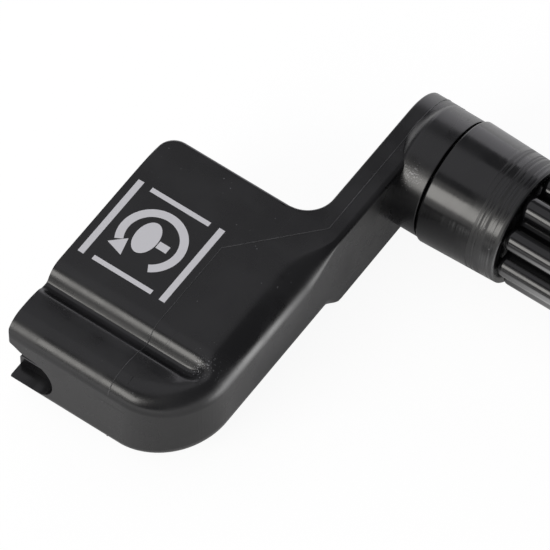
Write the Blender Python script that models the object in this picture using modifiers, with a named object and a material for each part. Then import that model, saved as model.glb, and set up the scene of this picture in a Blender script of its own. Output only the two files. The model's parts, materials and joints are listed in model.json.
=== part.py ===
"""Guitar string winder: a moulded crank with a peg socket, and a fluted handle that spins on a steel axle.

All sizes are in metres. The frame's origin is at the bottom centre of the whole object as it lies flat:
+X runs along the handle's axis from the socket's mouth to the handle's free end, +Y along the crank arm from
the socket to the handle, and +Z out of the front face.
Each piece is modelled around the pivot, the point where the handle's axis crosses the seam between boss and
collar, and is then placed there.
"""

import math

import bmesh
import bpy

MM = 0.001

# Gaps between separate pieces, and the small stand-off between faces that a union joins
FIT_GAP = 0.3 * MM
SEAM_GAP = 0.35 * MM
FLUSH_STEP = 0.05 * MM

# Socket head, measured from the pivot
MOUTH_X = -31.5 * MM
CLOSED_X = -4.1 * MM
HEAD_FAR_Y = -54.0 * MM
HEAD_NEAR_Y = -19.0 * MM
HEAD_HALF_THICKNESS = 7.2 * MM
STEP_TOP_Y = -42.4 * MM
STEP_RUN = 3.0 * MM
FAR_ZONE_DROP = 1.1 * MM
VALLEY_DEPTH = 0.9 * MM
VALLEY_RUN = 3.0 * MM
CORNER_RADIUS = 9.6 * MM
MOUTH_CORNER_RADIUS = 2.6 * MM
CLOSED_EDGE_RADIUS = 4.0 * MM
FAR_FRONT_EDGE_RADIUS = 2.5 * MM
FAR_REAR_EDGE_RADIUS = 1.3 * MM
SMALL_EDGE_RADIUS = 0.5 * MM

# Socket cavity and bridge-pin notch
SOCKET_WALL = 2.0 * MM
SOCKET_END_WALL = 3.0 * MM
VALLEY_WALL = 1.6 * MM
NOTCH_WIDTH = 7.6 * MM
NOTCH_DEPTH = 6.9 * MM
NOTCH_REAR_WALL = 0.65 * MM

# Crank arm and boss
ARM_THICKNESS = 4.45 * MM
ARM_HALF_WIDTH = 7.0 * MM
ARM_END_Y = 8.8 * MM
ARM_FILLET_RADIUS = 4.0 * MM
BOSS_RADIUS = 8.6 * MM
BOSS_SLOPE_START_X = -4.4 * MM
BOSS_SLOPE_RUN = 2.8 * MM
BOSS_SLOPE_DROP = 1.7 * MM

# Axle and its fasteners
AXLE_RADIUS = 2.5 * MM
AXLE_ROOT_DEPTH = 6.7 * MM
AXLE_CHAMFER = 0.4 * MM
WASHER_RADIUS = 6.2 * MM
WASHER_THICKNESS = 1.0 * MM
SCREW_RADIUS = 1.5 * MM
SCREW_SHANK_LENGTH = 8.0 * MM
SCREW_HEAD_RADIUS = 2.9 * MM
SCREW_HEAD_HEIGHT = 1.9 * MM
SCREW_SLOT_WIDTH = 0.8 * MM
SCREW_SLOT_DEPTH = 0.9 * MM
RETAINER_RADIUS = 4.3 * MM
RETAINER_THICKNESS = 0.8 * MM

# Handle
HANDLE_LENGTH = 86.0 * MM
COLLAR_LENGTH = 11.8 * MM
COLLAR_RADIUS = 8.9 * MM
COLLAR_END_RADIUS = 8.5 * MM
COLLAR_WALL = 1.6 * MM
COLLAR_CHAMFER = 0.3 * MM
RIB_COUNT = 9
RIB_TOP_RADIUS = 8.1 * MM
RIB_HALF_WIDTH = 1.6 * MM
RIB_FLOOR_RADIUS = 5.6 * MM
RIB_FIRST_ANGLE = math.radians(101.0)
RIB_END_ROUNDING = 1.6 * MM
CAP_RADIUS = 7.6 * MM
CAP_EDGE_ROUNDING = 1.0 * MM
CAP_THICKNESS = 2.2 * MM
CAP_SPIGOT_LENGTH = 3.0 * MM
CAP_WALL = 1.2 * MM
END_POCKET_RADIUS = 4.8 * MM

# Places that follow from the sizes
BOSS_FACE_X = -SEAM_GAP
NOTCH_CENTRE_Z = -HEAD_HALF_THICKNESS + NOTCH_REAR_WALL + NOTCH_WIDTH / 2
ARM_X = CLOSED_X - ARM_THICKNESS
RECESS_FLOOR_X = -FIT_GAP - WASHER_THICKNESS - FIT_GAP
AXLE_ROOT_X = BOSS_FACE_X - AXLE_ROOT_DEPTH
CAP_INNER_X = HANDLE_LENGTH - CAP_THICKNESS
GRIP_END_X = CAP_INNER_X - FIT_GAP
CAP_SPIGOT_X = CAP_INNER_X - CAP_SPIGOT_LENGTH
SCREW_HEAD_X = CAP_SPIGOT_X - FIT_GAP - SCREW_HEAD_HEIGHT
RETAINER_X = SCREW_HEAD_X - FIT_GAP - RETAINER_THICKNESS
AXLE_END_X = RETAINER_X - FIT_GAP
POCKET_FLOOR_X = AXLE_END_X

PIVOT = (
    -(MOUTH_X + HANDLE_LENGTH) / 2,
    -(HEAD_FAR_Y + COLLAR_RADIUS) / 2,
    COLLAR_RADIUS,
)

TURN_STEPS = 48
SMALL_TURN_STEPS = 32
ARC_STEPS = 10
OVERRUN = 2.0 * MM


def clear_scene():
    for item in list(bpy.data.objects):
        bpy.data.objects.remove(item, do_unlink=True)


def new_collection(name):
    collection = bpy.data.collections.new(name)
    bpy.context.scene.collection.children.link(collection)
    return collection


def material(name, colour, roughness, metallic):
    made = bpy.data.materials.new(name)
    made.use_nodes = True
    shader = made.node_tree.nodes["Principled BSDF"]
    shader.inputs["Base Color"].default_value = (*colour, 1.0)
    shader.inputs["Roughness"].default_value = roughness
    shader.inputs["Metallic"].default_value = metallic
    return made


def arc(centre_x, centre_y, radius, start, end, steps=ARC_STEPS):
    """Points along a circular arc, both ends included."""
    points = []
    for step in range(steps + 1):
        angle = start + (end - start) * step / steps
        points.append((centre_x + radius * math.cos(angle), centre_y + radius * math.sin(angle)))
    return points


def add_object(name, mesh, collection):
    item = bpy.data.objects.new(name, mesh)
    collection.objects.link(item)
    return item


def prism(name, outline, low, high, collection):
    """A flat outline in X and Y, extruded from height low to height high."""
    shape = bmesh.new()
    ring = [shape.verts.new((x, y, low)) for x, y in outline]
    edges = [shape.edges.new((ring[i - 1], ring[i])) for i in range(len(ring))]
    base = bmesh.ops.edgeloop_fill(shape, edges=edges)["faces"]
    raised = bmesh.ops.extrude_face_region(shape, geom=base)["geom"]
    tops = [item for item in raised if isinstance(item, bmesh.types.BMVert)]
    bmesh.ops.translate(shape, verts=tops, vec=(0.0, 0.0, high - low))
    bmesh.ops.recalc_face_normals(shape, faces=shape.faces)
    mesh = bpy.data.meshes.new(name)
    shape.to_mesh(mesh)
    shape.free()
    return add_object(name, mesh, collection)


def turned(name, profile, collection, closed=True, steps=TURN_STEPS):
    """A solid turned about the handle's axis from (position along the axis, radius) points.

    The profile runs down its outer side, from the handle's end towards the crank. A closed profile goes round
    a ring's section; an open one starts and ends on the axis.
    """
    mesh = bpy.data.meshes.new(name)
    points = [(radius, 0.0, along) for along, radius in profile]
    edges = [(i, i + 1) for i in range(len(points) - 1)]
    if closed:
        edges.append((len(points) - 1, 0))
    mesh.from_pydata(points, edges, [])
    item = add_object(name, mesh, collection)
    screw = item.modifiers.new("Turn", "SCREW")
    screw.axis = "Z"
    screw.steps = steps
    screw.render_steps = steps
    screw.use_merge_vertices = True
    screw.merge_threshold = 0.00001
    item.rotation_euler = (0.0, math.pi / 2, 0.0)
    return item


def ring_profile(start, end, inner, outer):
    return [(end, inner), (end, outer), (start, outer), (start, inner)]


def cutter(item):
    item.hide_render = True
    item.display_type = "WIRE"
    return item


def boolean(item, operation, other):
    modifier = item.modifiers.new(other.name, "BOOLEAN")
    modifier.operation = operation
    modifier.solver = "EXACT"
    modifier.object = other


def smooth(item, angle=math.radians(35.0)):
    item.data.shade_smooth()
    item.data.set_sharp_from_angle(angle=angle)


def bevel_by_place(item, width_at, widest, segments):
    """Rounds each edge by the width that width_at gives for its two ends, and keeps the rounded mesh."""
    weights = item.data.attributes.new("bevel_weight_edge", "FLOAT", "EDGE")
    for edge in item.data.edges:
        ends = [item.data.vertices[i].co for i in edge.vertices]
        weights.data[edge.index].value = width_at(ends[0], ends[1]) / widest
    bevel = item.modifiers.new("Edges", "BEVEL")
    bevel.limit_method = "WEIGHT"
    bevel.offset_type = "OFFSET"
    bevel.width = widest
    bevel.segments = segments
    rounded = bpy.data.meshes.new_from_object(item.evaluated_get(bpy.context.evaluated_depsgraph_get()))
    item.modifiers.clear()
    item.data = rounded


def head_outline():
    """The head seen from the front: its far closed corner and its near mouth corner are rounded."""
    points = [(MOUTH_X, HEAD_FAR_Y)]
    far = (CLOSED_X - CORNER_RADIUS, HEAD_FAR_Y + CORNER_RADIUS)
    points += arc(*far, CORNER_RADIUS, -math.pi / 2, 0.0)
    points.append((CLOSED_X, HEAD_NEAR_Y))
    near = (MOUTH_X + MOUTH_CORNER_RADIUS, HEAD_NEAR_Y - MOUTH_CORNER_RADIUS)
    points += arc(*near, MOUTH_CORNER_RADIUS, math.pi / 2, math.pi, 5)
    return points


def head_edge_width(a, b):
    """Edge rounding of the head: large at the closed end, smaller along the sides, none at the mouth."""
    middle_x = (a.x + b.x) / 2
    middle_y = (a.y + b.y) / 2
    if abs(a.z - b.z) > FLUSH_STEP or abs(middle_x - MOUTH_X) < FLUSH_STEP:
        return 0.0
    if middle_x < CLOSED_X - FLUSH_STEP and middle_y > HEAD_NEAR_Y - MOUTH_CORNER_RADIUS:
        return SMALL_EDGE_RADIUS
    if middle_y > HEAD_FAR_Y + CORNER_RADIUS:
        return CLOSED_EDGE_RADIUS
    far_width = FAR_FRONT_EDGE_RADIUS if a.z > 0.0 else FAR_REAR_EDGE_RADIUS
    turn = max(middle_x - CLOSED_X + CORNER_RADIUS, 0.0) / CORNER_RADIUS
    return far_width + (CLOSED_EDGE_RADIUS - far_width) * turn


def smooth_step(value):
    value = min(max(value, 0.0), 1.0)
    return value * value * (3 - 2 * value)


def front_drop(y):
    """How far the head's front lies below its raised zone: down a slope, through a valley, then level."""
    slope = smooth_step((STEP_TOP_Y - y) / STEP_RUN)
    valley = 1 - smooth_step((STEP_TOP_Y - STEP_RUN - y) / VALLEY_RUN)
    return slope * (FAR_ZONE_DROP + VALLEY_DEPTH * valley)


def lower_far_zone(item):
    """Cuts the mesh across at the step, and lowers its front there."""
    shape = bmesh.new()
    shape.from_mesh(item.data)
    cuts = [STEP_TOP_Y - STEP_RUN * step / 4 for step in range(5)]
    cuts += [STEP_TOP_Y - STEP_RUN - VALLEY_RUN * step / 3 for step in range(1, 4)]
    for y in cuts:
        everything = [*shape.verts, *shape.edges, *shape.faces]
        bmesh.ops.bisect_plane(shape, geom=everything, plane_co=(0.0, y, 0.0), plane_no=(0.0, 1.0, 0.0))
    for vertex in shape.verts:
        if vertex.co.z > 0.0:
            vertex.co.z -= front_drop(vertex.co.y) * vertex.co.z / HEAD_HALF_THICKNESS
    shape.to_mesh(item.data)
    shape.free()


def make_socket_cutters(cutters):
    """The peg-button cavity, the lower channel beside it, and the notch for bridge pins."""
    end_x = CLOSED_X - SOCKET_END_WALL
    near_y = HEAD_NEAR_Y - SOCKET_WALL
    far_y = HEAD_FAR_Y + SOCKET_WALL
    divide_y = STEP_TOP_Y
    floor_z = -HEAD_HALF_THICKNESS + SOCKET_WALL
    roof_z = HEAD_HALF_THICKNESS - SOCKET_WALL
    channel_roof_z = HEAD_HALF_THICKNESS - FAR_ZONE_DROP - VALLEY_DEPTH - VALLEY_WALL
    start_x = MOUTH_X - OVERRUN
    radius = CORNER_RADIUS - SOCKET_WALL

    channel = [(start_x, far_y)]
    channel += arc(end_x - radius, far_y + radius, radius, -math.pi / 2, 0.0)
    channel += [(end_x, near_y), (start_x, near_y)]
    low = cutter(prism("cut_socket_low", channel, floor_z, channel_roof_z, cutters))

    button = [(start_x, divide_y), (end_x, divide_y), (end_x, near_y), (start_x, near_y)]
    high_floor = channel_roof_z - OVERRUN
    high = cutter(prism("cut_socket_high", button, high_floor, roof_z, cutters))

    half = NOTCH_WIDTH / 2
    slot = [(start_x, -half)]
    slot += arc(MOUTH_X + NOTCH_DEPTH - half, 0.0, half, -math.pi / 2, math.pi / 2)
    slot += [(start_x, half)]
    notch = cutter(prism("cut_notch", slot, -OVERRUN, SOCKET_WALL + FIT_GAP, cutters))
    notch.rotation_euler = (math.pi / 2, 0.0, 0.0)
    notch.location = (0.0, HEAD_FAR_Y + SOCKET_WALL + FIT_GAP, NOTCH_CENTRE_Z)
    return [low, high, notch]


def make_arm(cutters):
    """Flat arm with a fillet where it leaves the head; its other end is round, just past the boss."""
    root_y = HEAD_NEAR_Y - SOCKET_WALL * 0.8
    fillet = ARM_FILLET_RADIUS
    face_x = CLOSED_X + FLUSH_STEP
    back_x = ARM_X + FLUSH_STEP
    outline = [(face_x, root_y), (face_x, ARM_END_Y), (back_x, ARM_END_Y)]
    outline += arc(back_x - fillet, HEAD_NEAR_Y + fillet + FLUSH_STEP, fillet, 0.0, -math.pi / 2, 6)
    outline.append((back_x - fillet, root_y))
    arm = prism("add_arm", outline, -ARM_HALF_WIDTH, ARM_HALF_WIDTH, cutters)

    end_rounding = ARM_HALF_WIDTH - FLUSH_STEP

    def edge_width(a, b):
        across_end = min(a.y, b.y) > ARM_END_Y - FLUSH_STEP and abs(a.x - b.x) > FLUSH_STEP
        return end_rounding if across_end else 0.0

    bevel_by_place(arm, edge_width, end_rounding, 12)
    return cutter(arm)


def make_crank_body(parts, cutters):
    """Socket head, flat arm and round boss, moulded in one piece."""
    body = prism("crank_body", head_outline(), -HEAD_HALF_THICKNESS, HEAD_HALF_THICKNESS, parts)
    bevel_by_place(body, head_edge_width, CLOSED_EDGE_RADIUS, 4)
    lower_far_zone(body)

    slope = []
    for step in range(6):
        share = step / 5
        slope.append((BOSS_SLOPE_START_X - BOSS_SLOPE_RUN * share,
                      BOSS_RADIUS - BOSS_SLOPE_DROP * smooth_step(share)))
    boss_profile = [(BOSS_FACE_X, 0.0), (BOSS_FACE_X, BOSS_RADIUS), *slope, (slope[-1][0], 0.0)]
    boss = cutter(turned("add_boss", boss_profile, cutters, closed=False))

    recess = cutter(turned("cut_recess", [(OVERRUN, 0.0), (OVERRUN, WASHER_RADIUS + FIT_GAP),
                                          (RECESS_FLOOR_X, WASHER_RADIUS + FIT_GAP),
                                          (RECESS_FLOOR_X, AXLE_RADIUS + FIT_GAP),
                                          (AXLE_ROOT_X - FIT_GAP, AXLE_RADIUS + FIT_GAP),
                                          (AXLE_ROOT_X - FIT_GAP, 0.0)], cutters, closed=False))
    for other in make_socket_cutters(cutters):
        boolean(body, "DIFFERENCE", other)
    boolean(body, "UNION", make_arm(cutters))
    boolean(body, "UNION", boss)
    boolean(body, "DIFFERENCE", recess)
    return body


def make_axle(parts, cutters):
    """Steel axle: its root is pressed into the boss, its free end is drilled for the retaining screw."""
    chamfer = AXLE_CHAMFER
    profile = [(AXLE_END_X, 0.0), (AXLE_END_X, AXLE_RADIUS - chamfer), (AXLE_END_X - chamfer, AXLE_RADIUS),
               (AXLE_ROOT_X + chamfer, AXLE_RADIUS), (AXLE_ROOT_X, AXLE_RADIUS - chamfer), (AXLE_ROOT_X, 0.0)]
    axle = turned("axle_pin", profile, parts, closed=False, steps=SMALL_TURN_STEPS)
    hole_radius = SCREW_RADIUS + FIT_GAP
    hole_x = AXLE_END_X - SCREW_SHANK_LENGTH - FIT_GAP
    hole = cutter(turned("cut_screw_hole", [(AXLE_END_X + OVERRUN, 0.0), (AXLE_END_X + OVERRUN, hole_radius),
                                            (hole_x, hole_radius), (hole_x, 0.0)],
                         cutters, closed=False, steps=24))
    boolean(axle, "DIFFERENCE", hole)
    return axle


def make_thrust_washer(parts):
    """Plastic washer between the boss and the spinning handle."""
    start = RECESS_FLOOR_X + FIT_GAP
    profile = ring_profile(start, start + WASHER_THICKNESS, AXLE_RADIUS + FIT_GAP, WASHER_RADIUS)
    return turned("thrust_washer", profile, parts)


def make_retaining_washer(parts):
    """Steel washer on the axle's end, wider than the grip's bore, so the handle can't slide off."""
    profile = ring_profile(RETAINER_X, RETAINER_X + RETAINER_THICKNESS, SCREW_RADIUS + FIT_GAP, RETAINER_RADIUS)
    return turned("retaining_washer", profile, parts, steps=SMALL_TURN_STEPS)


def make_retaining_screw(parts, cutters):
    """Slotted screw in the axle's end that holds the retaining washer."""
    head_end = SCREW_HEAD_X + SCREW_HEAD_HEIGHT
    crown = SCREW_HEAD_HEIGHT * 0.3
    profile = [(head_end, 0.0), (head_end, SCREW_HEAD_RADIUS - crown), (head_end - crown, SCREW_HEAD_RADIUS),
               (SCREW_HEAD_X, SCREW_HEAD_RADIUS), (SCREW_HEAD_X, SCREW_RADIUS),
               (AXLE_END_X - SCREW_SHANK_LENGTH, SCREW_RADIUS), (AXLE_END_X - SCREW_SHANK_LENGTH, 0.0)]
    screw = turned("retaining_screw", profile, parts, closed=False, steps=24)
    reach = SCREW_HEAD_RADIUS + OVERRUN
    half = SCREW_SLOT_WIDTH / 2
    slot_outline = [(head_end - SCREW_SLOT_DEPTH, -half), (head_end + OVERRUN, -half),
                    (head_end + OVERRUN, half), (head_end - SCREW_SLOT_DEPTH, half)]
    slot = cutter(prism("cut_screw_slot", slot_outline, -reach, reach, cutters))
    boolean(screw, "DIFFERENCE", slot)
    return screw


def make_collar(parts):
    """Smooth tapered sleeve pressed over the grip's spigot, next to the boss."""
    chamfer = COLLAR_CHAMFER
    inner = COLLAR_RADIUS - COLLAR_WALL
    profile = [(COLLAR_LENGTH, inner), (COLLAR_LENGTH, COLLAR_END_RADIUS - chamfer),
               (COLLAR_LENGTH - chamfer, COLLAR_END_RADIUS), (chamfer, COLLAR_RADIUS),
               (0.0, COLLAR_RADIUS - chamfer), (0.0, inner)]
    return turned("handle_collar", profile, parts, steps=64)


def rib_outline():
    """Section of the fluted grip: round-topped ribs that stand on a round floor, or meet above it when wide."""
    pitch = 2 * math.pi / RIB_COUNT
    centre = RIB_TOP_RADIUS - RIB_HALF_WIDTH
    meeting_radius = RIB_HALF_WIDTH / math.sin(pitch / 2)
    valley_radius = max(RIB_FLOOR_RADIUS, meeting_radius)
    points = []
    for rib in range(RIB_COUNT):
        middle = rib * pitch
        section = arc(centre, 0.0, RIB_HALF_WIDTH, -math.pi / 2, math.pi / 2, 8)
        if meeting_radius < RIB_FLOOR_RADIUS:
            foot_x = RIB_FLOOR_RADIUS * math.cos(math.asin(RIB_HALF_WIDTH / RIB_FLOOR_RADIUS))
            section = [(foot_x, -RIB_HALF_WIDTH), *section, (foot_x, RIB_HALF_WIDTH)]
        for x, y in section:
            points.append((x * math.cos(middle) - y * math.sin(middle),
                           x * math.sin(middle) + y * math.cos(middle)))
        valley = middle + pitch / 2
        points.append((valley_radius * math.cos(valley), valley_radius * math.sin(valley)))
    return points


def make_grip(parts, cutters):
    """Fluted grip with a plain spigot for the collar, a bore for the axle and a pocket for the fasteners."""
    start = COLLAR_LENGTH + FIT_GAP
    grip = prism("handle_grip", rib_outline(), start, GRIP_END_X, parts)
    grip.rotation_euler = (0.0, math.pi / 2, 0.0)
    for vertex in grip.data.vertices:
        x, y, z = vertex.co
        turn = -RIB_FIRST_ANGLE - math.pi / 2
        vertex.co = (x * math.cos(turn) - y * math.sin(turn), x * math.sin(turn) + y * math.cos(turn), z)

    rounding = RIB_END_ROUNDING
    rib_height = RIB_TOP_RADIUS - RIB_FLOOR_RADIUS + FIT_GAP
    low = RIB_TOP_RADIUS + FIT_GAP - rib_height
    far_curve = [(GRIP_END_X + FIT_GAP / 3 - rounding * (1 - math.sin(step * math.pi / 12)),
                  low + rib_height * math.cos(step * math.pi / 12)) for step in range(6, -1, -1)]
    near_curve = [(start - FIT_GAP / 3 + rounding * (1 - math.sin(step * math.pi / 12)),
                   low + rib_height * math.cos(step * math.pi / 12)) for step in range(0, 7)]
    envelope_profile = [(far_curve[0][0], 0.0), *far_curve, *near_curve, (near_curve[-1][0], 0.0)]
    envelope = cutter(turned("trim_rib_ends", envelope_profile, cutters, closed=False, steps=72))

    spigot_radius = COLLAR_RADIUS - COLLAR_WALL - FIT_GAP
    neck_x = COLLAR_LENGTH - FIT_GAP
    spigot_profile = [(start + OVERRUN, 0.0), (start + OVERRUN, RIB_FLOOR_RADIUS - FIT_GAP),
                      (neck_x, RIB_FLOOR_RADIUS - FIT_GAP), (neck_x, spigot_radius), (0.0, spigot_radius), (0.0, 0.0)]
    spigot = cutter(turned("add_spigot", spigot_profile, cutters, closed=False, steps=TURN_STEPS))

    bore_radius = AXLE_RADIUS + FIT_GAP
    bore_profile = [(HANDLE_LENGTH, 0.0), (HANDLE_LENGTH, END_POCKET_RADIUS),
                    (POCKET_FLOOR_X, END_POCKET_RADIUS), (POCKET_FLOOR_X, bore_radius),
                    (-OVERRUN, bore_radius), (-OVERRUN, 0.0)]
    bore = cutter(turned("cut_bore", bore_profile, cutters, closed=False, steps=SMALL_TURN_STEPS))
    boolean(grip, "INTERSECT", envelope)
    boolean(grip, "UNION", spigot)
    boolean(grip, "DIFFERENCE", bore)
    return grip


def make_end_cap(parts):
    """Snap-in cap that closes the handle's free end over the screw."""
    spigot = END_POCKET_RADIUS - FIT_GAP
    rounding = CAP_EDGE_ROUNDING
    edge = arc(HANDLE_LENGTH - rounding, CAP_RADIUS - rounding, rounding, 0.0, math.pi / 2, 4)
    profile = [(HANDLE_LENGTH, 0.0), *edge,
               (CAP_INNER_X, CAP_RADIUS), (CAP_INNER_X, spigot), (CAP_SPIGOT_X, spigot),
               (CAP_SPIGOT_X, spigot - CAP_WALL), (CAP_INNER_X, spigot - CAP_WALL), (CAP_INNER_X, 0.0)]
    return turned("end_cap", profile, parts, closed=False)


def main():
    clear_scene()
    parts = new_collection("string_winder")
    cutters = new_collection("cutters")

    body_plastic = material("moulded_black", (0.02, 0.02, 0.022), 0.25, 0.0)
    collar_plastic = material("collar_black", (0.024, 0.024, 0.026), 0.2, 0.0)
    grip_plastic = material("grip_black", (0.018, 0.018, 0.02), 0.18, 0.0)
    cap_plastic = material("cap_black", (0.022, 0.022, 0.024), 0.3, 0.0)
    washer_plastic = material("washer_white", (0.75, 0.74, 0.7), 0.45, 0.0)
    axle_steel = material("axle_steel", (0.6, 0.6, 0.62), 0.25, 1.0)
    fastener_steel = material("fastener_steel", (0.55, 0.56, 0.58), 0.35, 1.0)

    pieces = [
        (make_crank_body(parts, cutters), body_plastic),
        (make_axle(parts, cutters), axle_steel),
        (make_thrust_washer(parts), washer_plastic),
        (make_retaining_washer(parts), fastener_steel),
        (make_retaining_screw(parts, cutters), fastener_steel),
    ]
    spinning = [
        (make_collar(parts), collar_plastic),
        (make_grip(parts, cutters), grip_plastic),
        (make_end_cap(parts), cap_plastic),
    ]

    crank_frame = bpy.data.objects.new("crank_frame", None)
    spin_axis = bpy.data.objects.new("spin_axis", None)
    for frame in (crank_frame, spin_axis):
        parts.objects.link(frame)
        frame.location = PIVOT
    for piece, finish in pieces:
        piece.parent = crank_frame
        piece.data.materials.append(finish)
        smooth(piece)
    for piece, finish in spinning:
        piece.parent = spin_axis
        piece.data.materials.append(finish)
        smooth(piece)
    for tool in cutters.objects:
        tool.parent = crank_frame


main()
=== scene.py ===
"""String winder for a guitar: glossy moulded crank with a peg socket, and a fluted handle that spins.

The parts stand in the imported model's frame. Each section makes one visible piece: the crank, the parting line
and the print on it, the collar, the grip and its cap. The axle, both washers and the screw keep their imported
meshes and only get their materials here.
"""

import json
import math
import random

import bmesh
import bpy
from mathutils import Matrix, Vector
from mathutils.bvhtree import BVHTree


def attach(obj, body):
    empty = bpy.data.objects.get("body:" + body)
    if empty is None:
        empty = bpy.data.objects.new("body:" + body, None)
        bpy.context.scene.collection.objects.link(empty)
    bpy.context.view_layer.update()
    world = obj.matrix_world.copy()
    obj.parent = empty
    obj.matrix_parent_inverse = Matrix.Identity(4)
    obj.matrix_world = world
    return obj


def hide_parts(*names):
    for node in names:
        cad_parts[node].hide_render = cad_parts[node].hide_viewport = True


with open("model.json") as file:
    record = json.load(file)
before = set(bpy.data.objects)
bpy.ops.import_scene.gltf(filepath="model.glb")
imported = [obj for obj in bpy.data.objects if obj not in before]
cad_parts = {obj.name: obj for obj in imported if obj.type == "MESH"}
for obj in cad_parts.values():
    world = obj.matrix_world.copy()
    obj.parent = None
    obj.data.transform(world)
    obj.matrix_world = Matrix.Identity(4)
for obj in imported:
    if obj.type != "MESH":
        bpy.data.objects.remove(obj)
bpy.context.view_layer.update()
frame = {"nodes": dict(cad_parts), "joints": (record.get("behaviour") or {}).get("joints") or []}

# ----------------------------------------------------------------------------------------------------------
# Studio: a plain pale table under one long soft light, a low wall of light behind and a dim panel overhead.
# The winder lies front face up, and the camera looks down on its closed side with a long lens.
# ----------------------------------------------------------------------------------------------------------
mm = 0.001
pivot = Vector(frame["joints"][0]["pos_m"])

camera_azimuth = math.radians(35.54)
camera_elevation = math.radians(57.63)
camera_distance = 1006.3 * mm
lens_length = 511.8
camera_right = Vector((math.cos(camera_azimuth), math.sin(camera_azimuth), 0.0))
camera_back = Vector((
    math.sin(camera_azimuth) * math.cos(camera_elevation),
    -math.cos(camera_azimuth) * math.cos(camera_elevation),
    math.sin(camera_elevation),
))
camera_up = camera_back.cross(camera_right)
aim = pivot - 23.11 * mm * camera_right - 12.07 * mm * camera_up

bpy.ops.object.camera_add(location=aim + camera_distance * camera_back)
camera = bpy.context.object
camera.name = "camera"
camera.rotation_euler = Matrix((camera_right, camera_up, camera_back)).transposed().to_euler()
camera.data.sensor_width = 36.0
camera.data.lens = lens_length
camera.data.clip_start = 0.05
bpy.context.scene.camera = camera
bpy.context.scene.view_settings.view_transform = "Standard"

bpy.ops.mesh.primitive_plane_add(size=6.0, location=(0.0, 0.0, 0.0))
table = bpy.context.object
table.name = "table"

table_finish = bpy.data.materials.new("pale_table")
table_finish.use_nodes = True
nodes = table_finish.node_tree.nodes
links = table_finish.node_tree.links
nodes["Principled BSDF"].inputs["Base Color"].default_value = (0.82, 0.82, 0.82, 1.0)
nodes["Principled BSDF"].inputs["Roughness"].default_value = 0.9
nodes["Principled BSDF"].inputs["Specular IOR Level"].default_value = 0.0
glow = nodes.new("ShaderNodeEmission")
glow.inputs["Color"].default_value = (1.0, 1.0, 1.0, 1.0)
glow.inputs["Strength"].default_value = 1.08
sight = nodes.new("ShaderNodeLightPath")
share = nodes.new("ShaderNodeMath")
share.operation = "MULTIPLY"
share.inputs[1].default_value = 0.86
mixed = nodes.new("ShaderNodeMixShader")
links.new(sight.outputs["Is Camera Ray"], share.inputs[0])
links.new(share.outputs[0], mixed.inputs["Fac"])
links.new(nodes["Principled BSDF"].outputs["BSDF"], mixed.inputs[1])
links.new(glow.outputs["Emission"], mixed.inputs[2])

# In reflections only, the table glows with painted light: painted shade close to the winder that brightens away
# from it, and a painted pool of light between head and handle
spot = nodes.new("ShaderNodeTexCoord")
strengths = []
# First ring: painted shade near the winder; second ring: painted pool of light
for centre, near, far, least, strength in (
    (pivot + Vector((-18.0, -27.0, 0.0)) * mm, 32.0 * mm, 95.0 * mm, 0.16, 0.8),
    (pivot + Vector((27.0, -28.0, 0.0)) * mm, 26.5 * mm, 8.0 * mm, 0.0, 4.6),
):
    reach = nodes.new("ShaderNodeVectorMath")
    reach.operation = "DISTANCE"
    reach.inputs[1].default_value = (centre.x, centre.y, 0.0)
    fade = nodes.new("ShaderNodeMapRange")
    fade.interpolation_type = "SMOOTHSTEP"
    fade.inputs["From Min"].default_value = near
    fade.inputs["From Max"].default_value = far
    fade.inputs["To Min"].default_value = least
    fade.inputs["To Max"].default_value = strength
    links.new(spot.outputs["Object"], reach.inputs[0])
    links.new(reach.outputs["Value"], fade.inputs["Value"])
    strengths.append(fade.outputs["Result"])
painted_glow_strength = nodes.new("ShaderNodeMath")
painted_glow_strength.operation = "ADD"
painted_glow_share = nodes.new("ShaderNodeMath")
painted_glow_share.operation = "MULTIPLY"
# Painted reflection glow, emitted only for glossy rays
painted_glow = nodes.new("ShaderNodeEmission")
both = nodes.new("ShaderNodeAddShader")
links.new(strengths[0], painted_glow_strength.inputs[0])
links.new(strengths[1], painted_glow_strength.inputs[1])
links.new(painted_glow_strength.outputs[0], painted_glow_share.inputs[0])
links.new(sight.outputs["Is Glossy Ray"], painted_glow_share.inputs[1])
links.new(painted_glow_share.outputs[0], painted_glow.inputs["Strength"])
links.new(mixed.outputs["Shader"], both.inputs[0])
links.new(painted_glow.outputs["Emission"], both.inputs[1])
links.new(both.outputs["Shader"], nodes["Material Output"].inputs["Surface"])
table.data.materials.append(table_finish)

room = bpy.data.worlds.new("room")
room.use_nodes = True
nodes = room.node_tree.nodes
links = room.node_tree.links
sight = nodes.new("ShaderNodeLightPath")
tint = nodes.new("ShaderNodeMix")
tint.data_type = "RGBA"
tint.inputs["A"].default_value = (0.2, 0.2, 0.21, 1.0)
tint.inputs["B"].default_value = (0.95, 0.95, 0.95, 1.0)
links.new(sight.outputs["Is Camera Ray"], tint.inputs["Factor"])
links.new(tint.outputs["Result"], nodes["Background"].inputs["Color"])
bpy.context.scene.world = room


def add_softbox(name, towards, distance, width, height, radiance, colour):
    """A soft rectangular light that faces the winder; its width lies level, and lengths are in metres."""
    place = aim + distance * Vector(towards).normalized()
    bpy.ops.object.light_add(type="AREA", location=place)
    softbox = bpy.context.object
    softbox.name = name
    softbox.rotation_euler = (place - aim).to_track_quat("Z", "Y").to_euler()
    softbox.data.shape = "RECTANGLE"
    softbox.data.size = width
    softbox.data.size_y = height
    softbox.data.energy = radiance * math.pi * width * height
    softbox.data.color = colour
    softbox.visible_camera = False


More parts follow.
